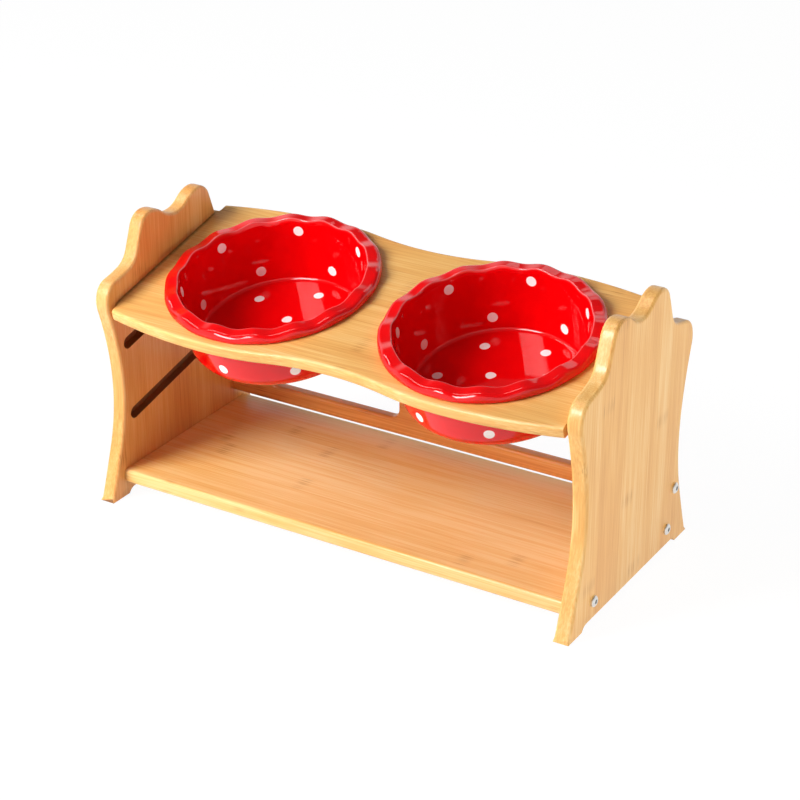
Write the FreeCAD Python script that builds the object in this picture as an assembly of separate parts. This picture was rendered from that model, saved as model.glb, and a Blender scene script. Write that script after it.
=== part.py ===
import FreeCAD, Part
import math
import os

from FreeCAD import Placement, Rotation, Vector

# Raised double bowl stand, in millimetres.
# X runs along the stand, Y from its front to its rear, Z up.
# The origin is on the floor, under the middle of the stand.
# The bowls set the size of the bowl shelf, and the bowl shelf sets the size of the panels that carry it.

# Bowls; heights are from the top face of the bowl shelf
wall_radius = 74.6             # outside wall, just under the rim
wall_taper = 4.2               # the outside wall draws in by this much, down to the base's round
wall_thickness = 5.4
base_depth = 50.0
base_round = 14.0
floor_thickness = 7.0
floor_round = 9.0
foot_ring_width = 6.0
foot_ring_height = 2.0
seat_gap = 0.3                 # between a rim and the bowl shelf
rim_overhang = 6.2             # past the outside wall
rim_edge = 4.8                 # thickness at the rim's outer edge
crest_height = 7.4
crest_inset = 3.6              # the rim's top, inside the outside wall's radius
lip_round = 1.6                # from the rim's top down to the inside wall
flute_count = 16
flute_scallop = 0.7            # the rim's waves in and out
flute_lift = 1.1               # and up and down
flute_fade = 6.0               # depth at which the waves have run out on the inside wall
seat_waves = 0.2               # share of the waves on the rim's underside
edge_waves = 0.7               # on its outer edge
shoulder_waves = 0.9           # above that edge; the crest has them in full
facets_per_flute = 4
corner_turns = (0, 45, 90)     # degrees at which a bowl's rounded lower corners have a ring
bowl_hole_gap = 1.2            # between a bowl's wall and its hole
bowl_rim_gap = 22.4            # between the two rims
bowl_end_gap = 15.2            # between a rim and a side panel

# Bowl shelf, square to its own tilted plane
bowl_shelf_thickness = 9.5
bowl_shelf_forward = 11.5      # its middle, in front of mid-depth along the tilt
bulge_margin = 9.7             # wood in front of a bowl's hole
bulge_from_bowl = 6.0          # the edge's widest places, outside the middle of the bowls
shelf_waist_inset = 10.0       # the edge's middle, behind its widest places
corner_inset = 9.5             # and its ends
bowl_shelf_end_gap = 2.5       # between the shelf's body and a panel
tongue_inset = 9.0             # the tongues in the grooves are narrower than the ends
tongue_end_gap = 0.5
tongue_round = 2.5
sliding_gap = 0.3              # above and below a tongue

# Side panels, alike to the front and to the rear; headings are in degrees from level
panel_thickness = 12.0
edge_ease = 2.0                # bevel along the boards' curved edges
edge_round = 2.5               # round along their straight edges
groove_wall = 9.8              # wood in front of the top groove, at the flare
flare_out = 12.0               # the flare, past the waist
flare_heading = 72.1
foot_out = 20.9                # the foot, past the waist
foot_heading = 110.3
foot_length = 20.0             # flat part of each foot
arch_height = 4.0              # between the feet
arch_ramp = 7.0                # from a foot up to the arch
waist_height = 85.2
flare_rise = 68.8              # above the waist
ledge_rise = 22.3              # above the flare
ledge_inset = 10.6             # from the flare
ledge_heading = 170.5
flank_rise = 14.0              # the crown's side, above the ledge
flank_inset = 25.9             # from the ledge
flank_heading = 110.2
crown_rise = 26.3              # the crown's two peaks, above its side
peak_inset = 19.4              # from the crown's side
crown_dip = 10.9               # the saddle between the peaks

# Grooves in the panels' inner faces, given where they cross mid-depth
tilt = 13.5                    # degrees, front lower
groove_depth = 6.0
top_groove_drop = 3.3          # below the ledge
middle_groove_drop = 33.6      # below the top groove
low_groove_drop = 59.7         # below the middle groove
middle_groove_setback = 8.1    # the round end's middle, behind the panel's waist
low_groove_setback = 11.2

# Bottom shelf
bottom_shelf_thickness = 11.0
bottom_shelf_top = 22.6
bottom_shelf_setback = 15.5    # its front and rear edges, from the tips of the feet

# Back rail, its rear face level with the panels' waist
rail_thickness = 10.0
rail_gap = 8.4                 # above the bottom shelf
rail_height = 31.0
rail_cut_depth = 17.5          # of the two cut-outs, from the rail's top edge
rail_cut_length = 121.0
rail_cut_round = 8.0           # lower corners of the cut-outs

# Screws and dowels
screw_diameter = 5.0
screw_length = 40.0            # under the head
screw_head_diameter = 8.4
screw_head_height = 2.2
socket_width = 3.0             # across the flats
socket_depth = 1.5
fastener_gap = 0.1             # round a screw or a dowel, and past its end
shelf_screw_half_spacing = 59.0
dowel_diameter = 6.0
dowel_in_rail = 12.0
dowel_in_panel = 8.0
dowel_above_screw = 9.0

# Sizes that follow: bowls and bowl shelf
base_wall_radius = wall_radius - wall_taper
base_edge_radius = base_wall_radius - base_round
rim_radius = wall_radius + rim_overhang
crest_radius = wall_radius - crest_inset
bowl_hole_radius = wall_radius + bowl_hole_gap
bowl_half_spacing = rim_radius + bowl_rim_gap / 2
inner_half_length = bowl_half_spacing + rim_radius + bowl_end_gap
half_length = inner_half_length + panel_thickness
bulge_half_depth = bowl_hole_radius + bulge_margin
bulge_from_middle = bowl_half_spacing + bulge_from_bowl
shelf_waist_half_depth = bulge_half_depth - shelf_waist_inset
corner_half_depth = bulge_half_depth - corner_inset
tongue_half_depth = corner_half_depth - tongue_inset

# Sizes that follow: panels and grooves
tilt_cosine = math.cos(math.radians(tilt))
groove_half_width = bowl_shelf_thickness / 2 + sliding_gap
tongue_reach = bowl_shelf_forward + tongue_half_depth
flare_half_depth = tongue_reach * tilt_cosine + groove_wall
waist_half_depth = flare_half_depth - flare_out
foot_half_depth = waist_half_depth + foot_out
ledge_half_depth = flare_half_depth - ledge_inset
flank_half_depth = ledge_half_depth - flank_inset
peak_half_depth = flank_half_depth - peak_inset
flare_height = waist_height + flare_rise
ledge_height = flare_height + ledge_rise
flank_height = ledge_height + flank_rise
crown_height = flank_height + crown_rise
top_groove_height = ledge_height - top_groove_drop
middle_groove_height = top_groove_height - middle_groove_drop
low_groove_height = middle_groove_height - low_groove_drop
top_groove_reach = tongue_reach - tongue_round
middle_groove_reach = (waist_half_depth - middle_groove_setback) / tilt_cosine
low_groove_reach = (waist_half_depth - low_groove_setback) / tilt_cosine

# Sizes that follow: boards between the panels, screws and dowels
bottom_shelf_half_depth = foot_half_depth - bottom_shelf_setback
shelf_screw_height = bottom_shelf_top - bottom_shelf_thickness / 2
rail_front = waist_half_depth - rail_thickness
rail_middle = rail_front + rail_thickness / 2
rail_bottom = bottom_shelf_top + rail_gap
rail_screw_height = rail_bottom + rail_height / 2
dowel_height = rail_screw_height + dowel_above_screw

X_AXIS = Vector(1, 0, 0)
Y_AXIS = Vector(0, 1, 0)
Z_AXIS = Vector(0, 0, 1)
SMALL = 1e-7                   # below this a length or an angle counts as nothing


def line(start, end):
    return Part.LineSegment(start, end).toShape()


def bend(start, direction, end):
    """Arc from start to end that leaves start along a direction, or a line if they are in line."""
    chord = end - start
    aside = direction - chord * (direction.dot(chord) / chord.dot(chord))
    if aside.Length < SMALL:
        return line(start, end)
    rise = chord.Length / 2 * math.tan(direction.getAngle(chord) / 2)
    return Part.Arc(start, start + chord / 2 + aside.normalize() * rise, end).toShape()


def tangent_arcs(stations):
    """Smooth chain of edges through stations, each a point and a heading, with two arcs for each stretch."""
    edges = []
    for (start, leave), (end, arrive) in zip(stations, stations[1:]):
        span = end - start
        turn = 2 * (1 - leave.dot(arrive))
        if turn < SMALL:
            reach = span.dot(span) / (4 * span.dot(arrive))
        else:
            along = span.dot(leave + arrive)
            reach = (math.sqrt(along ** 2 + turn * span.dot(span)) - along) / turn
        first_corner = start + leave * reach
        last_corner = end - arrive * reach
        joint = (first_corner + last_corner) / 2
        edges.append(bend(start, leave, joint))
        edges.append(bend(joint, (last_corner - first_corner).normalize(), end))
    return edges


def along_groove(height):
    """Place whose Y axis runs up along a groove, with its origin where the groove crosses mid-depth."""
    return Placement(Vector(0, 0, height), Rotation(X_AXIS, tilt))


def bowl_shelf_place():
    """Place of the bowl shelf: its middle, on the middle plane of the top grooves."""
    return along_groove(top_groove_height).multiply(Placement(Vector(0, -bowl_shelf_forward, 0), Rotation()))


def arcs_of(solid):
    return [edge for edge in solid.Edges if isinstance(edge.Curve, Part.Circle)]


def edges_along(solid, axis):
    """The straight edges that run along an axis."""
    straight = [edge for edge in solid.Edges if isinstance(edge.Curve, Part.Line)]
    return [edge for edge in straight if edge.Curve.Direction.cross(axis).Length < SMALL]


def export(node, solids):
    shape = solids[0] if len(solids) == 1 else Part.makeCompound(solids)
    shape.exportStep(os.path.join("parts", node + ".step"))


# Side panels

def panel_outline(x):
    """Outline of a panel in the plane at x: over the crown from foot to foot, and straight back."""
    half = (
        (foot_half_depth, 0.0, foot_heading),
        (waist_half_depth, waist_height, 90.0),
        (flare_half_depth, flare_height, flare_heading),
        (ledge_half_depth, ledge_height, ledge_heading),
        (flank_half_depth, flank_height, flank_heading),
        (peak_half_depth, crown_height, 180.0),
        (0.0, crown_height - crown_dip, 180.0),
    )
    rear = []
    front = []
    for depth, height, heading in half:
        level = math.cos(math.radians(heading))
        climb = math.sin(math.radians(heading))
        rear.append((Vector(x, depth, height), Vector(0, level, climb)))
        front.insert(0, (Vector(x, -depth, height), Vector(0, level, -climb)))
    edges = tangent_arcs(rear + front[1:])
    edges.append(line(front[-1][0], rear[0][0]))
    return Part.Wire(edges)


def foot_arch(x):
    """Low arch between the feet, with a round ramp at each end."""
    heel = foot_half_depth - foot_length
    ramp_end = heel - arch_ramp
    rear_foot = Vector(x, heel, 0)
    rear_ramp = Vector(x, ramp_end, arch_height)
    front_ramp = Vector(x, -ramp_end, arch_height)
    front_foot = Vector(x, -heel, 0)
    edges = [
        line(front_foot, rear_foot),
        bend(rear_ramp, Y_AXIS, rear_foot),
        line(rear_ramp, front_ramp),
        bend(front_ramp, -Y_AXIS, front_foot),
    ]
    return Part.Face(Part.Wire(edges)).extrude(Vector(panel_thickness, 0, 0))


def groove_cutter(side, height, reach):
    """Slot with a round front end, open to the rear, cut into the inner face of a panel."""
    length = reach + 2 * foot_half_depth
    start = min(side * inner_half_length, side * (inner_half_length + groove_depth))
    straight = Part.makeBox(
        groove_depth, length, 2 * groove_half_width, Vector(start, -reach, -groove_half_width)
    )
    round_end = Part.makeCylinder(groove_half_width, groove_depth, Vector(start, -reach, 0), X_AXIS)
    cutter = straight.fuse(round_end)
    cutter.Placement = along_groove(height)
    return cutter


def side_panel(side):
    """Side panel: side is -1 on the left and 1 on the right."""
    start = min(side * inner_half_length, side * half_length)
    panel = Part.Face(panel_outline(start)).extrude(Vector(panel_thickness, 0, 0))
    panel = panel.makeChamfer(edge_ease, arcs_of(panel))
    panel = panel.cut(foot_arch(start))
    grooves = (
        (low_groove_height, low_groove_reach),
        (middle_groove_height, middle_groove_reach),
        (top_groove_height, top_groove_reach),
    )
    for height, reach in grooves:
        panel = panel.cut(groove_cutter(side, height, reach))
    for depth, height in screw_places():
        panel = panel.cut(screw_hole(side, depth, height))
    return panel.cut(dowel_hole(side))


# Boards between the panels

def bottom_shelf():
    corner = Vector(
        -inner_half_length, -bottom_shelf_half_depth, bottom_shelf_top - bottom_shelf_thickness
    )
    board = Part.makeBox(
        2 * inner_half_length, 2 * bottom_shelf_half_depth, bottom_shelf_thickness, corner
    )
    board = board.makeFillet(edge_round, edges_along(board, X_AXIS))
    for side in (-1, 1):
        for place in (-shelf_screw_half_spacing, shelf_screw_half_spacing):
            board = board.cut(screw_hole(side, place, shelf_screw_height))
    return board


def back_rail():
    corner = Vector(-inner_half_length, rail_front, rail_bottom)
    rail = Part.makeBox(2 * inner_half_length, rail_thickness, rail_height, corner)
    rail = rail.makeFillet(edge_round, edges_along(rail, X_AXIS))
    for side in (-1, 1):
        rail = rail.cut(rail_cut(side))
        rail = rail.cut(screw_hole(side, rail_middle, rail_screw_height))
        rail = rail.cut(dowel_hole(side))
    return rail


def rail_cut(side):
    """Long cut-out under a bowl, open at the rail's top edge, with round lower corners."""
    low = rail_bottom + rail_height - rail_cut_depth
    corner = Vector(side * bowl_half_spacing - rail_cut_length / 2, rail_front, low)
    cutter = Part.makeBox(rail_cut_length, rail_thickness, rail_cut_depth, corner)
    low_corners = [edge for edge in edges_along(cutter, Y_AXIS) if edge.CenterOfMass.z < low + SMALL]
    return cutter.makeFillet(rail_cut_round, low_corners)


# Bowl shelf

def wavy_edge():
    """Rear edge of the bowl shelf in its own plane, from the right end to the left."""
    end = inner_half_length - bowl_shelf_end_gap
    corner_turn = 2 * math.atan2(corner_inset, end - bulge_from_middle)
    leave_right = Vector(-math.cos(corner_turn), math.sin(corner_turn), 0)
    reach_left = Vector(-math.cos(corner_turn), -math.sin(corner_turn), 0)
    low = -bowl_shelf_thickness / 2
    stations = [
        (Vector(end, corner_half_depth, low), leave_right),
        (Vector(bulge_from_middle, bulge_half_depth, low), -X_AXIS),
        (Vector(0, shelf_waist_half_depth, low), -X_AXIS),
        (Vector(-bulge_from_middle, bulge_half_depth, low), -X_AXIS),
        (Vector(-end, corner_half_depth, low), reach_left),
    ]
    return Part.Wire(tangent_arcs(stations))


def bowl_shelf():
    """Board with wavy long edges, tongues at its ends and a hole for each bowl."""
    low = -bowl_shelf_thickness / 2
    rear = wavy_edge()
    front = rear.copy()
    front.rotate(Vector(0, 0, 0), Z_AXIS, 180)
    rear_ends = rear.OrderedVertexes
    front_ends = front.OrderedVertexes
    sides = [
        line(rear_ends[-1].Point, front_ends[0].Point),
        line(front_ends[-1].Point, rear_ends[0].Point),
    ]
    outline = Part.Wire(rear.OrderedEdges + sides[:1] + front.OrderedEdges + sides[1:])
    board = Part.Face(outline).extrude(Vector(0, 0, bowl_shelf_thickness))
    board = board.makeChamfer(edge_ease, arcs_of(board))
    tongue_half_length = inner_half_length + groove_depth - tongue_end_gap
    tongue = Part.makeBox(
        2 * tongue_half_length, 2 * tongue_half_depth, bowl_shelf_thickness,
        Vector(-tongue_half_length, -tongue_half_depth, low),
    )
    tongue = tongue.makeFillet(tongue_round, edges_along(tongue, X_AXIS))
    board = board.fuse(tongue).removeSplitter()
    for side in (-1, 1):
        middle = Vector(side * bowl_half_spacing, 0, low)
        board = board.cut(Part.makeCylinder(bowl_hole_radius, bowl_shelf_thickness, middle, Z_AXIS))
    board.Placement = bowl_shelf_place()
    return board


# Bowls

def bowl_ring(radius, height, waves):
    """Corners of a ring round a bowl; waves says how much of the flutes it takes up, from 0 to 1."""
    corners = []
    facets = facets_per_flute * flute_count
    for facet in range(facets):
        turn = 2 * math.pi * facet / facets
        wave = waves * math.cos(flute_count * turn)
        reach = radius + flute_scallop * wave
        corners.append(Vector(reach * math.cos(turn), reach * math.sin(turn), height + flute_lift * wave))
    return corners


def facet(*corners):
    return Part.Face(Part.makePolygon([*corners, corners[0]]))


def facet_band(lower, upper):
    """Flat facets between two rings, two for each step round the bowl."""
    faces = []
    for step in range(len(lower)):
        faces.append(facet(lower[step - 1], lower[step], upper[step]))
        faces.append(facet(lower[step - 1], upper[step], upper[step - 1]))
    return faces


def rounded_rings(edge_radius, depth, size, turns):
    """Plain rings round a bowl's lower corner: 0 degrees is level, 90 degrees is upright."""
    rings = []
    for turn in turns:
        level = size * math.sin(math.radians(turn))
        climb = size * (1 - math.cos(math.radians(turn)))
        rings.append((edge_radius + level, climb - depth, 0.0))
    return rings


def bowl_rings():
    """Rings from the base up the outside, over the fluted rim and down the inside to the floor."""
    half_edge = rim_edge / 2
    floor_depth = base_depth - floor_thickness
    floor_edge_radius = base_wall_radius - wall_thickness - floor_round
    outside = rounded_rings(base_edge_radius, base_depth, base_round, corner_turns)
    rim = [
        (wall_radius, seat_gap, 0.0),
        (rim_radius - half_edge, seat_gap, seat_waves),
        (rim_radius, seat_gap + half_edge, edge_waves),
        (rim_radius - half_edge, seat_gap + rim_edge, shoulder_waves),
        (crest_radius, crest_height, 1.0),
        (crest_radius - lip_round, crest_height - lip_round, 1.0),
        (wall_radius - wall_thickness, -flute_fade, 0.0),
    ]
    inside = rounded_rings(floor_edge_radius, floor_depth, floor_round, reversed(corner_turns))
    return outside + rim + inside


def bowl(side):
    """Bowl with a foot ring, hung by its rim in a hole of the bowl shelf."""
    rings = [bowl_ring(*ring) for ring in bowl_rings()]
    faces = [facet(*rings[0]), facet(*rings[-1])]
    for lower, upper in zip(rings, rings[1:]):
        faces += facet_band(lower, upper)
    vessel = Part.Solid(Part.Shell(faces)).removeSplitter()
    hollow_radius = base_edge_radius - foot_ring_width
    vessel = vessel.cut(Part.makeCylinder(hollow_radius, foot_ring_height, Vector(0, 0, -base_depth), Z_AXIS))
    seat = Placement(Vector(side * bowl_half_spacing, 0, bowl_shelf_thickness / 2), Rotation())
    vessel.Placement = bowl_shelf_place().multiply(seat)
    return vessel


# Screws and dowels

def screw_places():
    """Depth and height of each screw on a panel: two for the bottom shelf, one for the back rail."""
    return [
        (-shelf_screw_half_spacing, shelf_screw_height),
        (shelf_screw_half_spacing, shelf_screw_height),
        (rail_middle, rail_screw_height),
    ]


def screw_hole(side, depth, height):
    start = Vector(side * half_length, depth, height)
    return Part.makeCylinder(
        screw_diameter / 2 + fastener_gap, screw_length + fastener_gap, start, Vector(-side, 0, 0)
    )


def screw(side, depth, height):
    """Hex-socket screw, its head on the outer face of a panel."""
    shank = Part.makeCylinder(screw_diameter / 2, screw_length, Vector(0, 0, -screw_length), Z_AXIS)
    head = Part.makeCylinder(screw_head_diameter / 2, screw_head_height)
    corner = Vector(socket_width / math.sqrt(3), 0, screw_head_height - socket_depth)
    corners = [Rotation(Z_AXIS, 60 * turn).multVec(corner) for turn in range(7)]
    socket = Part.Face(Part.makePolygon(corners)).extrude(Vector(0, 0, socket_depth))
    body = shank.fuse(head).cut(socket)
    body.Placement = Placement(
        Vector(side * half_length, depth, height), Rotation(Z_AXIS, Vector(side, 0, 0))
    )
    return body


def dowel_hole(side):
    start = Vector(side * (inner_half_length - dowel_in_rail - fastener_gap), rail_middle, dowel_height)
    length = dowel_in_rail + dowel_in_panel + 2 * fastener_gap
    return Part.makeCylinder(dowel_diameter / 2 + fastener_gap, length, start, Vector(side, 0, 0))


def dowel(side):
    start = Vector(side * (inner_half_length - dowel_in_rail), rail_middle, dowel_height)
    return Part.makeCylinder(dowel_diameter / 2, dowel_in_rail + dowel_in_panel, start, Vector(side, 0, 0))


os.makedirs("parts", exist_ok=True)
export("left_side_panel", [side_panel(-1)])
export("right_side_panel", [side_panel(1)])
export("bottom_shelf", [bottom_shelf()])
export("back_rail", [back_rail()])
export("bowl_shelf", [bowl_shelf()])
export("left_bowl", [bowl(-1)])
export("right_bowl", [bowl(1)])
shelf_screws = []
rail_screws = []
for panel_side in (-1, 1):
    front_place, rear_place, rail_place = screw_places()
    shelf_screws.append(screw(panel_side, *front_place))
    shelf_screws.append(screw(panel_side, *rear_place))
    rail_screws.append(screw(panel_side, *rail_place))
export("shelf_screws", shelf_screws)
export("rail_screws", rail_screws)
export("rail_dowels", [dowel(-1), dowel(1)])
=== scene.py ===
import math

import bmesh
import bpy
from bpy.props import FloatProperty, FloatVectorProperty, IntProperty, PointerProperty
from mathutils import Euler, Matrix, Vector


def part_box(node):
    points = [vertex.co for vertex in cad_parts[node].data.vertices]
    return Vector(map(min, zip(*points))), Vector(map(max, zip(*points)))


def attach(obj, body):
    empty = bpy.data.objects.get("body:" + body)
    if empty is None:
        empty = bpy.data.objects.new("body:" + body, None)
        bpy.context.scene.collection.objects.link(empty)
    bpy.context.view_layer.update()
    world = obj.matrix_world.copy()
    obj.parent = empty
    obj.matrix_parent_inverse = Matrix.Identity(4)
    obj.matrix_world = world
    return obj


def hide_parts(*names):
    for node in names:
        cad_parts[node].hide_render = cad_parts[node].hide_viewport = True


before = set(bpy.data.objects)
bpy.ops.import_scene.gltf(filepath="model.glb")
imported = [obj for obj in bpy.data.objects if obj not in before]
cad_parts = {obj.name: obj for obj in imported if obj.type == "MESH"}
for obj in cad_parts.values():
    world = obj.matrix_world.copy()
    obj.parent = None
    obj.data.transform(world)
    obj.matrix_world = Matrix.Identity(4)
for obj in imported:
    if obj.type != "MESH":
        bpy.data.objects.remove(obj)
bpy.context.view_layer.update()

bl_info = {
    "name": "Raised double bowl stand",
    "version": (1, 0, 0),
    "blender": (4, 5, 0),
    "location": "3D View > Sidebar > Bowl stand",
    "description": "Dresses the stand in bamboo, red glaze and zinc-plated steel, and sets its stage",
    "category": "Object",
}

MM = 0.001
SMALL = 1e-7                     # below this a length or an angle counts as nothing
QUARTER_TURN = math.radians(90)
SHARP_ANGLE = math.radians(32)   # an edge that turns by more than this stays sharp
WHITE = (1.0, 1.0, 1.0, 1.0)
LEFT, RIGHT = -1, 1
SIDES = ((LEFT, "left"), (RIGHT, "right"))

# Half outline of a side panel from the rear foot up to the middle of the crown: depth and height in
# millimetres, and the outline's heading in degrees: 0 to the rear, 90 up and 180 to the front
PANEL_STATIONS = (
    (95.03, 0.0, 110.3),         # foot
    (74.13, 85.2, 90.0),         # waist
    (86.13, 154.0, 72.1),        # flare
    (75.53, 176.3, 170.5),       # ledge
    (49.63, 190.3, 110.2),       # side of the crown
    (30.23, 216.6, 180.0),       # peak
    (0.0, 205.7, 180.0),         # saddle between the peaks
)

# Grooves: height where one crosses mid-depth, and how far its round end starts in front of that, in
# millimetres
GROOVES = ((173.0, 76.0), (139.4, 67.9), (79.7, 64.7))

# Half outline of the bowl shelf's edge: along the shelf and its half-depth, in millimetres
SHELF_END = (185.5, 76.0)
SHELF_BULGE = (98.0, 85.5)
SHELF_WAIST = (0.0, 75.5)

# Bamboo boards: where in the plank each was cut, in metres, how much honey tint of painted shade it
# has, and how much painted light makes it paler
CUTS = {
    "left_panel": ((-0.03, 0.004, 0.1), 0.3, 0.0),
    "right_panel": ((0.03, 0.004, 0.1), 0.0, 0.0),
    "bottom_shelf": ((0.07, 0.002, 0.0), 0.0, 0.2),
    "back_rail": ((0.02, 0.006, 0.0), 0.5, 0.0),
    "bowl_shelf": ((0.05, 0.007, 0.001), 0.0, 0.0),
}

# Grain of the bamboo: length and width in millimetres, detail, roughness and share in the tone. Fibres are
# 0.3 mm wide in life, and are drawn 1.1 mm wide, so that they show in the render
GRAINS = {
    "fibre": (70, 1.1, 3.0, 0.6, 0.95),
    "streak": (160, 6, 2.0, 0.5, 0.45),
    "patch": (95, 30, 1.0, 0.5, 0.4),
}

# Rings of dots: the surface, the ring's height or its radius on the floor in millimetres, and how many
DOT_RINGS = {
    "upper": ("inside", -2.0, 7),
    "lower": ("inside", -32.0, 7),
    "floor": ("floor", 46.0, 6),
    "middle": ("floor", 11.0, 1),
    "outside": ("outside", -33.0, 8),
}
# Where each ring has a dot, in degrees round the bowl from the stand's right end towards its rear
DOT_TURNS = {
    LEFT: {"upper": 56.0, "lower": 85.0, "floor": 86.0, "middle": 105.0, "outside": -93.0},
    RIGHT: {"upper": 43.5, "lower": 70.0, "floor": 71.0, "middle": 150.0, "outside": -111.0},
}

# Lamps light the stand and aren't mirrored, and soft boxes are only mirrored: place, width and height in
# metres. All of them look at one point
LAMPS = {
    "key": ((-0.95, -1.1, 0.95), 0.9, 0.9),
    "side": ((1.6, 0.12, 0.3), 0.5, 0.5),
}
SOFT_BOXES = {
    "window": ((-0.27, -1.0, 0.83), 0.5, 0.5),
    "strip": ((-0.8, -0.08, 1.6), 0.16, 1.3),
    "backdrop": ((-0.15, 1.5, 1.6), 1.0, 0.6),
}
LAMP_TARGET = (0.0, 0.0, 0.12)


# Sizes and finishes that can be changed

def linear(hex_code):
    """Linear colour of an sRGB hex code."""
    channels = [int(hex_code[place:place + 2], 16) / 255 for place in (1, 3, 5)]
    return [c / 12.92 if c <= 0.04045 else ((c + 0.055) / 1.055) ** 2.4 for c in channels]


def size(name, description, millimetres):
    return FloatProperty(
        name=name, description=description, default=millimetres * MM, min=0.0, precision=4, unit="LENGTH"
    )


def turn(name, description, degrees):
    return FloatProperty(name=name, description=description, default=math.radians(degrees), subtype="ANGLE")


def colour(name, description, hex_code):
    return FloatVectorProperty(
        name=name, description=description, default=linear(hex_code), min=0.0, max=1.0, subtype="COLOR"
    )


def amount(name, description, value):
    return FloatProperty(name=name, description=description, default=value, min=0.0)


def count(name, description, value):
    return IntProperty(name=name, description=description, default=value, min=1)


class BoardSizes(bpy.types.PropertyGroup):
    """Sizes of the bamboo boards"""
    edge_round: size("Edge round", "Round along the edges of the boards", 2.5)
    end_ease: size("End ease", "Round of the bottom shelf's ends, a dark line by the panels", 0.9)
    groove_depth: size("Groove depth", "Depth of the grooves in the side panels", 6)
    groove_width: size("Groove width", "Width of the grooves, across the tilt", 10.1)
    tilt: turn("Tilt", "Slope of the grooves and of the bowl shelf, front lower", 13.5)
    foot_length: size("Foot length", "Flat part of each foot", 20)
    arch_height: size("Arch height", "Low arch between the feet of a panel", 4)
    arch_ramp: size("Arch ramp", "Length of the ramp from a foot up to the arch", 7)
    shelf_thickness: size("Bowl shelf", "Thickness of the bowl shelf", 9.5)
    shelf_forward: size("Bowl shelf forward", "Middle of the bowl shelf, in front of mid-depth", 11.5)
    shelf_height: size("Bowl shelf height", "Where the bowl shelf crosses mid-depth", 173)
    hole_radius: size("Bowl hole", "Radius of the holes for the bowls", 75.8)
    hole_ease: size("Hole ease", "Bevel round the holes", 0.8)
    tongue_half_depth: size("Tongue", "Half the depth of the tongues in the grooves", 67)
    tongue_length: size("Tongue length", "How far the tongues stand out of the shelf's ends", 8)
    tongue_rebate: size("Tongue rebate", "How far the tongues lie below the shelf's top", 0.8)
    tongue_shoulder: size("Tongue shoulder", "Where the rebate starts, past the shelf's ends", 0.5)
    rail_cut_depth: size("Rail cut-out depth", "Depth of the back rail's cut-outs", 17.5)
    rail_cut_length: size("Rail cut-out length", "Length of the back rail's cut-outs", 121)
    rail_cut_round: size("Rail cut-out round", "Lower corners of the cut-outs", 8)


class BowlSizes(bpy.types.PropertyGroup):
    """Sizes of a bowl; heights are from the top of the bowl shelf"""
    spacing: size("Spacing", "Half the distance between the bowls", 92)
    wall_radius: size("Wall", "Outside radius just under the rim", 74.6)
    base_wall_radius: size("Wall at the base", "Outside radius at the level of the base", 68.8)
    wall_thickness: size("Wall thickness", "Thickness of the wall", 5.4)
    base_depth: size("Depth", "From the bowl shelf down to the foot ring", 50)
    base_round: size("Base round", "Round of the outside lower corner", 14)
    floor_depth: size("Floor depth", "From the bowl shelf down to the inside floor", 43)
    floor_round: size("Floor round", "Round of the inside lower corner", 3.5)
    foot_ring_radius: size("Foot ring", "Inside radius of the foot ring", 50.4)
    foot_ring_height: size("Foot ring height", "Height of the foot ring", 2)
    seat_gap: size("Seat gap", "Between the rim and the bowl shelf", 0.3)
    rim_radius: size("Rim", "Radius over the rim", 80.8)
    rim_edge: size("Rim edge", "Height of the rim's rolled outer edge", 6.2)
    rim_round: size("Rim round", "Round from the rim's outer edge over to its top", 4.2)
    crest_radius: size("Crest", "Radius of the top of the rim", 70.4)
    crest_height: size("Crest height", "Height of the top of the rim", 7.7)
    flute_count: count("Flutes", "Flutes round the rim", 16)
    flute_scallop: size("Scallop", "Waves of the rim, in and out", 0.2)
    flute_lift: size("Lift", "Waves of the rim, up and down", 1.1)
    flute_fade: size("Fade", "Depth at which the waves have run out on the inside wall", 6)
    dot_diameter: size("Dots", "Diameter of the white dots", 7.7)


class ScrewSizes(bpy.types.PropertyGroup):
    """Sizes of the hex-socket screws"""
    shank_radius: size("Shank", "Radius of the shank", 2.5)
    shank_length: size("Length", "Length under the head", 40)
    head_radius: size("Head", "Radius of the head", 4.2)
    head_height: size("Head height", "Height of the head", 2.2)
    socket_width: size("Socket", "Socket, across its flats", 3)
    socket_depth: size("Socket depth", "Depth of the socket", 1.5)
    shelf_half_spacing: size("Spacing", "Half the distance between a panel's bottom-shelf screws", 59)


class Finishes(bpy.types.PropertyGroup):
    """Colours of the stand"""
    bamboo_light: colour("Bamboo, light", "Palest strips of the bamboo", "#F8CD88")
    bamboo_mid: colour("Bamboo, middle", "Main colour of the bamboo", "#F0B664")
    bamboo_dark: colour("Bamboo, dark", "Darkest strips and fibres", "#DB9243")
    bamboo_node: colour("Bamboo nodes", "Cross marks where the cane had its nodes", "#B56E26")
    # Painted shade: the honey tint that deepens the boards lying in shade
    bamboo_shade_honey: colour("Bamboo, honey", "Tint of the warmer boards", "#E9A45A")
    # Painted shade inside the grooves
    bamboo_groove_shade: colour("Bamboo, burnt", "Inside the grooves, browned by the router", "#4A1E08")
    glaze: colour("Glaze", "Red glaze", "#F20208")
    glaze_deep: colour("Glaze, thick", "Where the glaze lies thicker", "#E00005")
    # Painted highlight along the crest, with the paler tone where the glaze has thinned
    glaze_thin_and_glint: colour("Glaze, thin", "Along the edges, where the glaze has run thin", "#F99A9C")
    dots: colour("Dots", "White dots under the glaze", "#FFFFFF")
    steel: colour("Steel", "Zinc-plated steel", "#EFEDE9")
    dowel: colour("Dowel", "Turned beech", "#CDA276")


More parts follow.
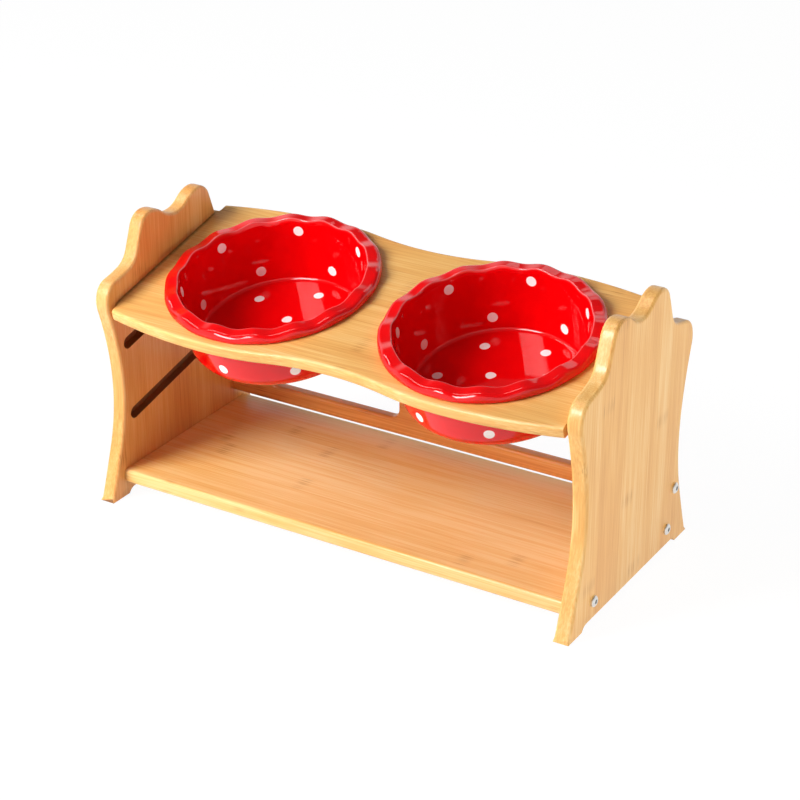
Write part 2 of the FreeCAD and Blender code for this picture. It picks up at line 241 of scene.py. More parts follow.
class StageSettings(bpy.types.PropertyGroup):
    """Camera and light"""
    azimuth: turn("Azimuth", "Camera, from the front towards the right end", 31.284)
    elevation: turn("Elevation", "Camera, above the level", 25.782)
    distance: size("Distance", "From the camera to the point that it looks at", 1553.96)
    target: FloatVectorProperty(
        name="Target", description="Point that the camera looks at",
        default=(9.204 * MM, 0.0, 97.83 * MM), subtype="TRANSLATION", unit="LENGTH",
    )
    lens: FloatProperty(name="Lens", description="Focal length in mm", default=95.52, unit="CAMERA")
    sensor: FloatProperty(name="Sensor", description="Width in mm", default=36.0, unit="CAMERA")
    key_power: amount("Key light", "Watts of the lamp at the front left", 39.0)
    side_power: amount("Side light", "Watts of the low lamp at the right end", 11.0)
    window_power: amount("Window", "Watts of the front soft box that the bowls mirror", 14.0)
    strip_power: amount("Strip", "Watts of the strip overhead that the rims mirror", 7.0)
    backdrop_power: amount("Backdrop", "Watts of the rear soft box that the flutes mirror", 2.2)
    ambient: amount("Room light", "Strength of the white room", 0.2)
    ceiling: amount("Ceiling", "Brightness of the ceiling in the glaze, against the white backdrop", 0.12)


class BowlStand(bpy.types.PropertyGroup):
    """All settings of the stand"""
    boards: PointerProperty(type=BoardSizes)
    bowls: PointerProperty(type=BowlSizes)
    screws: PointerProperty(type=ScrewSizes)
    finishes: PointerProperty(type=Finishes)
    stage: PointerProperty(type=StageSettings)


def stand():
    return bpy.context.scene.bowl_stand


# Outlines made of lines and arcs

def bend(start, leave, end, spacing):
    """Points of the arc from start to end that leaves start in a direction, without start."""
    chord = end - start
    half_turn = math.atan2(leave.x * chord.y - leave.y * chord.x, leave.dot(chord))
    steps = max(2, math.ceil(chord.length / spacing))
    points = []
    for step in range(1, steps + 1):
        swing = half_turn * step / steps
        reach = step / steps
        if abs(half_turn) > SMALL:
            reach = math.sin(swing) / math.sin(half_turn)
        points.append(start + Matrix.Rotation(swing, 2) @ leave.normalized() * chord.length * reach)
    return points


def tangent_arcs(stations, spacing):
    """Smooth line through stations, each a point and a direction, with two arcs for each stretch."""
    points = [stations[0][0]]
    for (start, leave), (end, arrive) in zip(stations, stations[1:]):
        span = end - start
        turning = 2 * (1 - leave.dot(arrive))
        if turning < SMALL:
            reach = span.dot(span) / (4 * span.dot(arrive))
        else:
            along = span.dot(leave + arrive)
            reach = (math.sqrt(along ** 2 + turning * span.dot(span)) - along) / turning
        first_corner = start + leave * reach
        last_corner = end - arrive * reach
        joint = (first_corner + last_corner) / 2
        points += bend(start, leave, joint, spacing)
        points += bend(joint, last_corner - first_corner, end, spacing)
    return points


def rounded(corners, spacing):
    """Points along corners, each a place and the radius of its round; long straights get points too."""
    points = [Vector(corners[0][0])]
    for before, corner, after in zip(corners, corners[1:], corners[2:]):
        place = Vector(corner[0])
        arrive = (place - Vector(before[0])).normalized()
        leave = (Vector(after[0]) - place).normalized()
        back = corner[1] * math.tan(arrive.angle(leave) / 2)
        points.append(place - arrive * back)
        if corner[1] > 0:
            points += bend(points[-1], arrive, place + leave * back, spacing)
    points.append(Vector(corners[-1][0]))
    straight_spacing = 4 * spacing
    filled = [points[0]]
    for point in points[1:]:
        gap = point - filled[-1]
        steps = max(1, math.ceil(gap.length / straight_spacing))
        filled += [filled[-1] + gap * (step / steps) for step in range(1, steps)] + [point]
    return filled


# Shapes

def every_edge(start, end):
    return True


def slab(outline, thickness, edge_round=0.0, is_rounded=every_edge):
    """Board from an outline in its own XY plane, with the chosen outline edges rounded on both faces."""
    bm = bmesh.new()
    face = bm.faces.new([bm.verts.new((*point, 0.0)) for point in outline])
    grown = bmesh.ops.extrude_face_region(bm, geom=[face])["geom"]
    lifted = [part for part in grown if isinstance(part, bmesh.types.BMVert)]
    bmesh.ops.translate(bm, vec=(0, 0, thickness), verts=lifted)
    bmesh.ops.recalc_face_normals(bm, faces=bm.faces[:])
    if edge_round > 0:
        level = [edge for edge in bm.edges if abs(edge.verts[0].co.z - edge.verts[1].co.z) < SMALL]
        chosen = [edge for edge in level if is_rounded(edge.verts[0].co, edge.verts[1].co)]
        bmesh.ops.bevel(
            bm, geom=chosen, offset=edge_round, offset_type="OFFSET", affect="EDGES",
            segments=5, profile=0.5, material=-1,
        )
    return bm


def lathe(profile, steps):
    """Closed shape from a profile of radius and height, spun round Z."""
    same_place = 0.001 * MM
    bm = bmesh.new()
    corners = [bm.verts.new((point[0], 0.0, point[1])) for point in profile]
    edges = [bm.edges.new(pair) for pair in zip(corners, corners[1:])]
    bmesh.ops.spin(
        bm, geom=corners + edges, cent=(0, 0, 0), axis=(0, 0, 1), dvec=(0, 0, 0),
        angle=2 * math.pi, steps=steps, use_merge=True,
    )
    bmesh.ops.remove_doubles(bm, verts=bm.verts[:], dist=same_place)
    bmesh.ops.recalc_face_normals(bm, faces=bm.faces[:])
    return bm


def move(bm, matrix):
    bmesh.ops.transform(bm, matrix=matrix, verts=bm.verts[:])


def new_object(name, data):
    made = bpy.data.objects.new(name, data)
    bpy.context.scene.collection.objects.link(made)
    return made


def shape_object(bm, name):
    mesh = bpy.data.meshes.new(name)
    bm.to_mesh(mesh)
    bm.free()
    return new_object(name, mesh)


def carve(bm, cutters):
    """The shape with each cutter taken away."""
    blank = shape_object(bm, "blank")
    tools = [shape_object(cutter, "cutter") for cutter in cutters]
    for tool in tools:
        cut = blank.modifiers.new("Cut", "BOOLEAN")
        cut.operation = "DIFFERENCE"
        cut.solver = "EXACT"
        cut.object = tool
    bpy.context.view_layer.update()
    carved = bmesh.new()
    carved.from_object(blank, bpy.context.evaluated_depsgraph_get())
    for shape in (blank, *tools):
        mesh = shape.data
        bpy.data.objects.remove(shape)
        bpy.data.meshes.remove(mesh)
    return carved


def join(shapes):
    """One mesh from several."""
    joined = bmesh.new()
    for bm in shapes:
        mesh = bpy.data.meshes.new("part")
        bm.to_mesh(mesh)
        bm.free()
        joined.from_mesh(mesh)
        bpy.data.meshes.remove(mesh)
    return joined


def finish_piece(bm, name, material, body, cad_node):
    """Turn a finished mesh into the piece that stands for a CAD node."""
    piece = shape_object(bm, name)
    for polygon in piece.data.polygons:
        polygon.use_smooth = True
    piece.data.set_sharp_from_angle(angle=SHARP_ANGLE)
    piece.data.materials.append(material)
    flat = piece.modifiers.new("Flat faces", "WEIGHTED_NORMAL")
    flat.keep_sharp = True
    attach(piece, body)
    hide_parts(cad_node)


def upright(x):
    """Place of a board whose outline is of depth and height: they become Y and Z, and it grows along X."""
    turned = Matrix(((0, 0, 1, 0), (1, 0, 0, 0), (0, 1, 0, 0), (0, 0, 0, 1)))
    return Matrix.Translation((x, 0, 0)) @ turned


def shelf_place():
    """Place of the bowl shelf: the middle of the board, in its tilted plane."""
    boards = stand().boards
    tilted = Matrix.Translation((0, 0, boards.shelf_height)) @ Matrix.Rotation(boards.tilt, 4, "X")
    return tilted @ Matrix.Translation((0, -boards.shelf_forward, 0))


def bowl_place(side):
    """Place of a bowl: the middle of its hole, on the top of the bowl shelf."""
    above = stand().boards.shelf_thickness / 2
    return shelf_place() @ Matrix.Translation((side * stand().bowls.spacing, 0, above))


# Materials

def feed(tree, target, inputs):
    """Give a node's inputs their values, or links from sockets or from the first output of other nodes."""
    for key, value in inputs.items():
        source = value.outputs[0] if isinstance(value, bpy.types.Node) else value
        if isinstance(source, bpy.types.NodeSocket):
            tree.links.new(source, target.inputs[key])
        else:
            target.inputs[key].default_value = source


def node(tree, kind, inputs=None, **settings):
    """Add a shader node with its settings and inputs."""
    added = tree.nodes.new("ShaderNode" + kind)
    for key, value in settings.items():
        setattr(added, key, value)
    feed(tree, added, inputs or {})
    return added


def new_material(name):
    material = bpy.data.materials.new(name)
    material.use_nodes = True
    tree = material.node_tree
    return material, tree, tree.nodes["Principled BSDF"]


def rgba(values):
    return (*values, 1.0)


def bamboo(board, grain_turn):
    """Laminated bamboo, planed and clear-lacquered: straight strips of slightly different honey tones, fine
    fibres along them, faint cross marks where the cane had its nodes, and a satin shine; painted shade
    deepens the shaded boards and the grooves, and painted light makes a board paler."""
    finishes = stand().finishes
    cut_at, shade_warmth, painted_paleness = CUTS[board]
    material, tree, shader = new_material("laminated_bamboo_" + board)
    where = node(tree, "TexCoord").outputs["Object"]
    plank = node(tree, "Mapping", {"Vector": where, "Rotation": grain_turn, "Location": cut_at})
    along, across, through = node(tree, "SeparateXYZ", {0: plank}).outputs

    # Each strip and layer of the lamination has a tone of its own
    strip_width = 18 * MM
    layer_depth = 4.2 * MM
    strips = node(tree, "Math", {0: across, 1: strip_width}, operation="DIVIDE")
    strip = node(tree, "Math", {0: strips}, operation="FLOOR")
    layers = node(tree, "Math", {0: through, 1: layer_depth}, operation="DIVIDE")
    layer = node(tree, "Math", {0: layers}, operation="FLOOR")
    strip_key = node(tree, "CombineXYZ", {0: strip, 1: layer})
    strip_tone = node(tree, "TexWhiteNoise", {"Vector": strip_key}, noise_dimensions="3D").outputs["Value"]

    # Tone of the wood, higher for darker
    strip_share = 0.18
    # Painted light: a paler board starts lower in tone, so lighter
    offset = -0.36 - painted_paleness
    tone = node(tree, "Math", {0: strip_tone, 1: strip_share, 2: offset}, operation="MULTIPLY_ADD")
    noises = {}
    for grain, (length, width, detail, roughness, share) in GRAINS.items():
        scale = (1 / (length * MM), 1 / (width * MM), 1 / (width * MM))
        stretched = node(tree, "Mapping", {"Vector": plank, "Scale": scale})
        noises[grain] = node(tree, "TexNoise", {
            "Vector": stretched, "Scale": 1.0, "Detail": detail, "Roughness": roughness,
        })
        tone = node(tree, "Math", {0: noises[grain], 1: share, 2: tone}, operation="MULTIPLY_ADD")
    fibre = noises["fibre"]
    light_below = 0.36
    middle_at = 0.62
    dark_above = 1.0
    ramp = node(tree, "ValToRGB", {0: tone})
    stops = ramp.color_ramp.elements
    stops[0].position = light_below
    stops[0].color = rgba(finishes.bamboo_light)
    stops[1].position = dark_above
    stops[1].color = rgba(finishes.bamboo_dark)
    middle = stops.new(middle_at)
    middle.color = rgba(finishes.bamboo_mid)

    # Marks of the cane's nodes: one across each strip at its own place, broken up by the fibres
    mark_spacing = 330 * MM
    mark_reach = 8 * MM
    mark_strength = 0.55
    spans = node(tree, "Math", {0: along, 1: mark_spacing}, operation="DIVIDE")
    phase = node(tree, "Math", {0: spans, 1: strip_tone}, operation="ADD")
    part = node(tree, "Math", {0: phase}, operation="FRACT")
    aside = node(tree, "Math", {0: part, 1: 0.5}, operation="SUBTRACT")
    away = node(tree, "Math", {0: aside}, operation="ABSOLUTE")
    mark = node(tree, "MapRange", {
        "Value": away, "From Min": 0.0, "From Max": mark_reach / mark_spacing,
        "To Min": mark_strength, "To Max": 0.0,
    }, interpolation_type="SMOOTHSTEP")
    dashes = node(tree, "MapRange", {"Value": fibre, "From Min": 0.42, "From Max": 0.68})
    broken_mark = node(tree, "Math", {0: mark, 1: dashes}, operation="MULTIPLY")

    # Wood with its marks, with a honey tint of painted shade on shaded boards, and painted shade in grooves
    routed = node(tree, "Attribute", attribute_name="routed").outputs["Fac"]
    wood = ramp
    for share, tint, blend in (
        (broken_mark, finishes.bamboo_node, "MIX"),
        (shade_warmth, finishes.bamboo_shade_honey, "MULTIPLY"),
        (routed, finishes.bamboo_groove_shade, "MIX"),
    ):
        wood = node(tree, "Mix", {0: share, 6: wood, 7: rgba(tint)},
                    data_type="RGBA", blend_type=blend).outputs[2]

    gloss = node(tree, "MapRange", {"Value": fibre, "To Min": 0.34, "To Max": 0.5})
    bump = node(tree, "Bump", {"Height": fibre, "Strength": 0.25, "Distance": 0.15 * MM})
    feed(tree, shader, {
        "Base Color": wood, "Roughness": gloss, "Normal": bump, "IOR": 1.5,
        "Coat Weight": 0.25, "Coat Roughness": 0.22,
    })
    return material


def dot_ring(tree, angle, radius, away, dots, first_turn):
    """Mask of a ring of dots: away is the distance from the ring, square to it, along the surface."""
    reach = stand().bowls.dot_diameter / 2
    soft = 0.25 * MM
    share = node(tree, "Math", {0: angle, 1: dots / (2 * math.pi), 2: 0.5 - first_turn / 360 * dots},
                 operation="MULTIPLY_ADD")
    step = node(tree, "Math", {0: share, 1: 1.0}, operation="FLOORED_MODULO")
    aside = node(tree, "Math", {0: step, 1: 0.5}, operation="SUBTRACT")
    arc = node(tree, "Math", {0: aside, 1: 2 * math.pi / dots}, operation="MULTIPLY")
    arc = node(tree, "Math", {0: arc, 1: radius}, operation="MULTIPLY")
    place = node(tree, "CombineXYZ", {0: arc, 1: away})
    distance = node(tree, "VectorMath", {0: place}, operation="LENGTH").outputs["Value"]
    return node(tree, "MapRange", {
        "Value": distance, "From Min": reach - soft, "From Max": reach + soft, "To Min": 1.0, "To Max": 0.0,
    }, interpolation_type="SMOOTHSTEP")


def red_glaze(name, side):
    """Red glazed stoneware with white underglaze dots: mirror-bright, deeper where the glaze lies thick,
    paler along the crest where it has thinned, with a painted highlight there, and very slightly uneven."""
    finishes = stand().finishes
    bowls = stand().bowls
    material, tree, shader = new_material(name)
    where = node(tree, "TexCoord").outputs["Object"]
    middle, lean, _ = bowl_place(side).decompose()
    local = node(tree, "Mapping", {"Vector": where, "Location": middle, "Rotation": lean.to_euler()},
                 vector_type="TEXTURE")
    x, y, height = node(tree, "SeparateXYZ", {0: local}).outputs
    angle = node(tree, "Math", {0: y, 1: x}, operation="ARCTAN2")
    flat = node(tree, "CombineXYZ", {0: x, 1: y})
    radius = node(tree, "VectorMath", {0: flat}, operation="LENGTH").outputs["Value"]

    # The middle of the wall parts the dots inside from the dots outside
    taper = (bowls.wall_radius - bowls.base_wall_radius) / bowls.base_depth
    wall_middle = node(tree, "Math", {0: height, 1: taper, 2: bowls.wall_radius - bowls.wall_thickness / 2},
                       operation="MULTIPLY_ADD")
    inside = node(tree, "Math", {0: radius, 1: wall_middle}, operation="LESS_THAN")
    outside = node(tree, "Math", {0: 1.0, 1: inside}, operation="SUBTRACT")
    mid_base = -(bowls.base_depth + bowls.floor_depth) / 2
    above_floor = -bowls.floor_depth + 4 * MM
    above_base = node(tree, "Math", {0: height, 1: mid_base}, operation="GREATER_THAN")
    low_part = node(tree, "Math", {0: height, 1: above_floor}, operation="LESS_THAN")
    floor = node(tree, "Math", {0: above_base, 1: low_part}, operation="MULTIPLY")
    parts = {"inside": inside, "outside": outside, "floor": floor}

    dots = 0.0
    for ring, (kind, place, number) in DOT_RINGS.items():
        centre = radius if kind == "floor" else height
        away = node(tree, "Math", {0: centre, 1: place * MM}, operation="SUBTRACT")
        mask = dot_ring(tree, angle, radius, away, number, DOT_TURNS[side][ring])
        shown = node(tree, "Math", {0: mask, 1: parts[kind]}, operation="MULTIPLY")
        dots = node(tree, "Math", {0: dots, 1: shown}, operation="MAXIMUM")

    # Pooling of the glaze, about 25 mm across, and its pale crest line, thinned glaze with a painted
    # highlight, from the mesh's own attribute
    pool = node(tree, "TexNoise", {"Vector": local, "Scale": 1 / (25 * MM), "Detail": 2.0})
    thin_and_glint = node(tree, "Attribute", attribute_name="thin_glaze").outputs["Fac"]
    red = rgba(finishes.glaze_deep)
    for share, tint in ((pool, finishes.glaze), (thin_and_glint, finishes.glaze_thin_and_glint), (dots, finishes.dots)):
        red = node(tree, "Mix", {0: share, 6: red, 7: rgba(tint)}, data_type="RGBA").outputs[2]

    # The glaze's slight waviness, about 9 mm from wave to wave
    wave = node(tree, "TexNoise", {"Vector": local, "Scale": 1 / (9 * MM), "Detail": 1.0})
    gloss = node(tree, "MapRange", {"Value": pool, "To Min": 0.03, "To Max": 0.07})
    bump = node(tree, "Bump", {"Height": wave, "Strength": 0.1, "Distance": 0.1 * MM})
    feed(tree, shader, {"Base Color": red, "Roughness": gloss, "Normal": bump, "IOR": 1.52})
    return material


def zinc_steel():
    """Zinc-plated steel, turned and barrel-plated: bright pale grey with fine cloudy wear in its shine."""
    material, tree, shader = new_material("zinc_plated_steel")
    where = node(tree, "TexCoord").outputs["Object"]
    cloud = node(tree, "TexNoise", {"Vector": where, "Scale": 1 / (1.5 * MM), "Detail": 3.0})
    tone = stand().finishes.steel
    worn = [0.72 * channel for channel in tone]
    clouded = node(tree, "Mix", {0: cloud, 6: rgba(worn), 7: rgba(tone)}, data_type="RGBA")
    gloss = node(tree, "MapRange", {"Value": cloud, "To Min": 0.2, "To Max": 0.42})
    feed(tree, shader, {"Base Color": clouded.outputs[2], "Roughness": gloss, "Metallic": 1.0})
    return material


def beech_dowel():
    """Turned beech, bare: pale pinkish brown with short dark flecks along the grain and no shine."""
    material, tree, shader = new_material("turned_beech")
    where = node(tree, "TexCoord").outputs["Object"]
    scale = (1 / (4 * MM), 1 / (0.5 * MM), 1 / (0.5 * MM))
    stretched = node(tree, "Mapping", {"Vector": where, "Scale": scale})
    fleck = node(tree, "TexNoise", {"Vector": stretched, "Scale": 1.0, "Detail": 2.0})
    tone = stand().finishes.dowel
    darker = [0.7 * channel for channel in tone]
    flecked = node(tree, "Mix", {0: fleck, 6: rgba(tone), 7: rgba(darker)}, data_type="RGBA")
    gloss = node(tree, "MapRange", {"Value": fleck, "To Min": 0.6, "To Max": 0.75})
    feed(tree, shader, {"Base Color": flecked.outputs[2], "Roughness": gloss})
    return material


# Operators, one for each piece or group of like pieces, and one for the stage

class STAND_OT_side_panels(bpy.types.Operator):
    """Build both side panels with their rounded outline, feet and grooves"""
    bl_idname = "stand.side_panels"
    bl_label = "Side panels"

    def outline(self):
        """From the rear foot over the crown to the front foot, and back along the arch."""
        boards = stand().boards
        rear = []
        front = []
        for depth, height, heading in PANEL_STATIONS:
            level = math.cos(math.radians(heading))
            climb = math.sin(math.radians(heading))
            rear.append((Vector((depth, height)) * MM, Vector((level, climb))))
            front.insert(0, (Vector((-depth, height)) * MM, Vector((level, -climb))))
        points = tangent_arcs(rear + front[1:], spacing=3 * MM)
        heel = PANEL_STATIONS[0][0] * MM - boards.foot_length
        ramp = heel - boards.arch_ramp
        rear_arch = [Vector((ramp, boards.arch_height))]
        rear_arch += bend(rear_arch[0], Vector((1.0, 0.0)), Vector((heel, 0.0)), spacing=1.5 * MM)
        front_arch = [Vector((-point.x, point.y)) for point in reversed(rear_arch)]
        return points + front_arch + rear_arch

    def above_arch(self, start, end):
        """Whether an outline edge lies above the arch; the feet and the arch stay sharp."""
        return max(start.y, end.y) > stand().boards.arch_height + SMALL

    def groove_cutter(self, height, reach, inner_x):
        """Bar with a round front end that runs out of the panel at the rear."""
        boards = stand().boards
        half = boards.groove_width / 2
        rear = 2 * PANEL_STATIONS[0][0] * MM
        front = -reach * MM
        outline = [Vector((rear, half)), Vector((front, half))]
        outline += bend(outline[1], Vector((-1.0, 0.0)), Vector((front, -half)), spacing=0.8 * MM)
        outline.append(Vector((rear, -half)))
        cutter = slab(outline, 2 * boards.groove_depth)
        tilted = Matrix.Translation((0, 0, height * MM)) @ Matrix.Rotation(boards.tilt, 4, "X")
        move(cutter, tilted @ upright(inner_x - boards.groove_depth))
        return cutter

    def shade_grooves(self, panel, inner_x):
        """Note the walls and floors of the grooves, which get painted shade."""
        groove_shade_share = 0.75
        near = 0.05 * MM
        square_on = 0.9
        edge_on = 0.1
        depth = stand().boards.groove_depth
        routed = panel.faces.layers.float.new("routed")
        for face in panel.faces:
            inward = abs(face.calc_center_median().x - inner_x)
            facing = abs(face.normal.x)
            is_floor = facing > square_on and abs(inward - depth) < near
            is_wall = facing < edge_on and 0.2 * depth < inward < 0.8 * depth
            face[routed] = groove_shade_share if is_floor or is_wall else 0.0

    def execute(self, context):
        grain_up = Euler((0, QUARTER_TURN, 0))
        for side, word in SIDES:
            low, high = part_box(word + "_side_panel")
            panel = slab(self.outline(), high.x - low.x, stand().boards.edge_round, self.above_arch)
            move(panel, upright(low.x))
            inner_x = high.x if side == LEFT else low.x
            panel = carve(panel, [self.groove_cutter(height, reach, inner_x) for height, reach in GROOVES])
            self.shade_grooves(panel, inner_x)
            material = bamboo(word + "_panel", grain_up)
            finish_piece(panel, word + "_panel_board", material, "stand", word + "_side_panel")
        return {"FINISHED"}


class STAND_OT_level_boards(bpy.types.Operator):
    """Build the bottom shelf and the back rail between the side panels"""
    bl_idname = "stand.level_boards"
    bl_label = "Bottom shelf and back rail"

    def bottom_shelf(self):
        boards = stand().boards
        low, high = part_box("bottom_shelf")
        radius = boards.edge_round
        outline = rounded((
            ((0, low.z), 0), ((high.y, low.z), radius), ((high.y, high.z), radius),
            ((low.y, high.z), radius), ((low.y, low.z), radius), ((0, low.z), 0),
        ), spacing=0.6 * MM)
        board = slab(outline[:-1], high.x - low.x, boards.end_ease)
        move(board, upright(low.x))
        material = bamboo("bottom_shelf", Euler((0, 0, 0)))
        finish_piece(board, "bottom_shelf_board", material, "stand", "bottom_shelf")

    def back_rail(self):
        boards = stand().boards
        low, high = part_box("back_rail")
        cut_low = high.z - boards.rail_cut_depth
        half_cut = boards.rail_cut_length / 2
        middle = stand().bowls.spacing
        radius = boards.rail_cut_round
        lip = 1.6 * boards.edge_round    # wide enough for the edge round to follow it
        corners = [((low.x, low.z), 0), ((high.x, low.z), 0), ((high.x, high.z), 0)]
        for side in (RIGHT, LEFT):
            right_end = side * middle + half_cut
            left_end = side * middle - half_cut
            corners += [
                ((right_end, high.z), lip), ((right_end, cut_low), radius),
                ((left_end, cut_low), radius), ((left_end, high.z), lip),
            ]
        corners += [((low.x, high.z), 0), ((low.x, low.z), 0)]
        outline = rounded(corners, spacing=1.2 * MM)

        def off_ends(start, end):
            return abs(start.x - end.x) > SMALL or low.x + SMALL < start.x < high.x - SMALL

        rail = slab(outline[:-1], high.y - low.y, boards.edge_round, off_ends)
        move(rail, Matrix.Translation((0, high.y, 0)) @ Matrix.Rotation(QUARTER_TURN, 4, "X"))
        material = bamboo("back_rail", Euler((QUARTER_TURN, 0, 0)))
        finish_piece(rail, "back_rail_board", material, "stand", "back_rail")

    def execute(self, context):
        self.bottom_shelf()
        self.back_rail()
        return {"FINISHED"}


class STAND_OT_bowl_shelf(bpy.types.Operator):
    """Build the tilted bowl shelf with its wavy edges, tongues and holes"""
    bl_idname = "stand.bowl_shelf"
    bl_label = "Bowl shelf"

    def wavy_edge(self):
        """Rear edge from the right end to the left."""
        end_x, end_y = SHELF_END
        bulge_x, bulge_y = SHELF_BULGE
        corner_turn = 2 * math.atan2(bulge_y - end_y, end_x - bulge_x)
        level = math.cos(corner_turn)
        climb = math.sin(corner_turn)
        stations = [
            (Vector(SHELF_END) * MM, Vector((-level, climb))),
            (Vector(SHELF_BULGE) * MM, Vector((-1.0, 0.0))),
            (Vector(SHELF_WAIST) * MM, Vector((-1.0, 0.0))),
            (Vector((-bulge_x, bulge_y)) * MM, Vector((-1.0, 0.0))),
            (Vector((-end_x, end_y)) * MM, Vector((-level, -climb))),
        ]
        return tangent_arcs(stations, spacing=4 * MM)

    def off_ends(self, start, end):
        """Whether an outline edge isn't part of the ends, which stay sharp."""
        return abs(start.x - end.x) > SMALL

    def hole_cutter(self, side):
        """Plug that bevels both ends of its hole."""
        boards = stand().boards
        half = boards.shelf_thickness / 2
        radius = boards.hole_radius
        ease = boards.hole_ease
        past = 2 * MM
        profile = (
            (0, -half - past), (radius + ease + past, -half - past), (radius, -half + ease),
            (radius, half - ease), (radius + ease + past, half + past), (0, half + past),
        )
        cutter = lathe(profile, steps=128)
        move(cutter, Matrix.Translation((side * stand().bowls.spacing, 0, 0)))
        return cutter

    def rebate_cutter(self, side):
        """Block that lowers the top of a tongue."""
        boards = stand().boards
        near = SHELF_END[0] * MM + boards.tongue_shoulder
        far = near + 2 * boards.tongue_length
        half = 2 * boards.tongue_half_depth
        corners = ((near, -half), (far, -half), (far, half), (near, half))
        cutter = slab(corners, boards.shelf_thickness)
        lift = Matrix.Translation((0, 0, boards.shelf_thickness / 2 - boards.tongue_rebate))
        facing = Matrix.Rotation(math.pi if side == LEFT else 0.0, 4, "Z")
        move(cutter, lift @ facing)
        return cutter

    def execute(self, context):
        boards = stand().boards
        end = SHELF_END[0] * MM
        tip = end + boards.tongue_length
        half = boards.tongue_half_depth
        left_tongue = ((-end, half), (-tip, half), (-tip, -half), (-end, -half))
        rear = self.wavy_edge() + [Vector(corner) for corner in left_tongue]
        outline = rear + [-point for point in rear]
        shelf = slab(outline, boards.shelf_thickness, boards.edge_round, self.off_ends)
        move(shelf, Matrix.Translation((0, 0, -boards.shelf_thickness / 2)))
        cutters = [self.hole_cutter(side) for side in (LEFT, RIGHT)]
        cutters += [self.rebate_cutter(side) for side in (LEFT, RIGHT)]
        shelf = carve(shelf, cutters)
        move(shelf, shelf_place())
        material = bamboo("bowl_shelf", Euler((-boards.tilt, 0, 0)))
        finish_piece(shelf, "bowl_shelf_board", material, "bowl_shelf", "bowl_shelf")
        return {"FINISHED"}


class STAND_OT_bowls(bpy.types.Operator):
    """Build both bowls with their fluted rims and white dots"""
    bl_idname = "stand.bowls"
    bl_label = "Bowls"

    def profile(self):
        """From under the base up the outside, over the rim and down inside to the middle of the floor."""
        bowls = stand().bowls
        foot_round = 0.8 * MM
        neck_round = 1.5 * MM
        underside_round = 1.8 * MM
        crest_round = 1.2 * MM
        lip_drop = 4 * MM
        lip_round = 3 * MM
        base = -bowls.base_depth
        recess = base + bowls.foot_ring_height
        rim_top = bowls.seat_gap + bowls.rim_edge
        inner_radius = bowls.wall_radius - bowls.wall_thickness
        inner_base_radius = bowls.base_wall_radius - bowls.wall_thickness
        return rounded((
            ((0, recess), 0),
            ((bowls.foot_ring_radius, recess), foot_round),
            ((bowls.foot_ring_radius, base), foot_round),
            ((bowls.base_wall_radius, base), bowls.base_round),
            ((bowls.wall_radius, bowls.seat_gap), neck_round),
            ((bowls.rim_radius, bowls.seat_gap), underside_round),
            ((bowls.rim_radius, rim_top), bowls.rim_round),
            ((bowls.crest_radius, bowls.crest_height), crest_round),
            ((inner_radius, bowls.crest_height - lip_drop), lip_round),
            ((inner_base_radius, -bowls.floor_depth), bowls.floor_round),
            ((0, -bowls.floor_depth), 0),
        ), spacing=0.5 * MM)

    def wave_share(self, radius, height):
        """How much of the flutes a point of the profile takes up, from 0 to 1."""
        bowls = stand().bowls
        if height < -bowls.flute_fade:
            return 0.0
        if radius <= bowls.crest_radius:
            full_height = bowls.crest_height - 2 * MM
            share = min(1.0, (height + bowls.flute_fade) / (bowls.flute_fade + full_height))
            return share * share * (3 - 2 * share)
        seat_share = 0.2
        edge_share = 0.8
        past_crest = (radius - bowls.crest_radius) / (bowls.rim_radius - bowls.crest_radius)
        past_wall = max(0.0, radius - bowls.wall_radius) / (bowls.rim_radius - bowls.wall_radius)
        above = 1 - (1 - edge_share) * past_crest
        under = seat_share * past_wall
        climb = max(0.0, min(1.0, (height - bowls.seat_gap) / bowls.rim_edge))
        return under + (above - under) * climb * climb * (3 - 2 * climb)

    def flute(self, bm):
        """Wave the rim in and out and up and down, and note its pale crest line: thinned glaze with a
        painted highlight.
        """
        bowls = stand().bowls
        # The pale line along the crest is thinned glaze with a painted highlight
        crest_line_reach = 0.5 * MM
        crest_line_share = 0.75
        thin_and_glint = bm.verts.layers.float.new("thin_glaze")
        crest = Vector((bowls.crest_radius, bowls.crest_height))
        for corner in bm.verts:
            around = Vector((corner.co.x, corner.co.y))
            radius = around.length
            if radius < SMALL:
                continue
            height = corner.co.z
            from_crest = (Vector((radius, height)) - crest).length / crest_line_reach
            corner[thin_and_glint] = crest_line_share * math.exp(-from_crest ** 2)
            turned = math.atan2(around.y, around.x)
            wave = self.wave_share(radius, height) * math.cos(bowls.flute_count * turned)
            reach = (radius + bowls.flute_scallop * wave) / radius
            corner.co = Vector((around.x * reach, around.y * reach, height + bowls.flute_lift * wave))

    def execute(self, context):
        steps_per_flute = 16
        for side, word in SIDES:
            bowl = lathe(self.profile(), steps_per_flute * stand().bowls.flute_count)
            self.flute(bowl)
            move(bowl, bowl_place(side))
            material = red_glaze("red_glazed_stoneware_" + word, side)
            finish_piece(bowl, word + "_glazed_bowl", material, word + "_bowl", word + "_bowl")
        return {"FINISHED"}


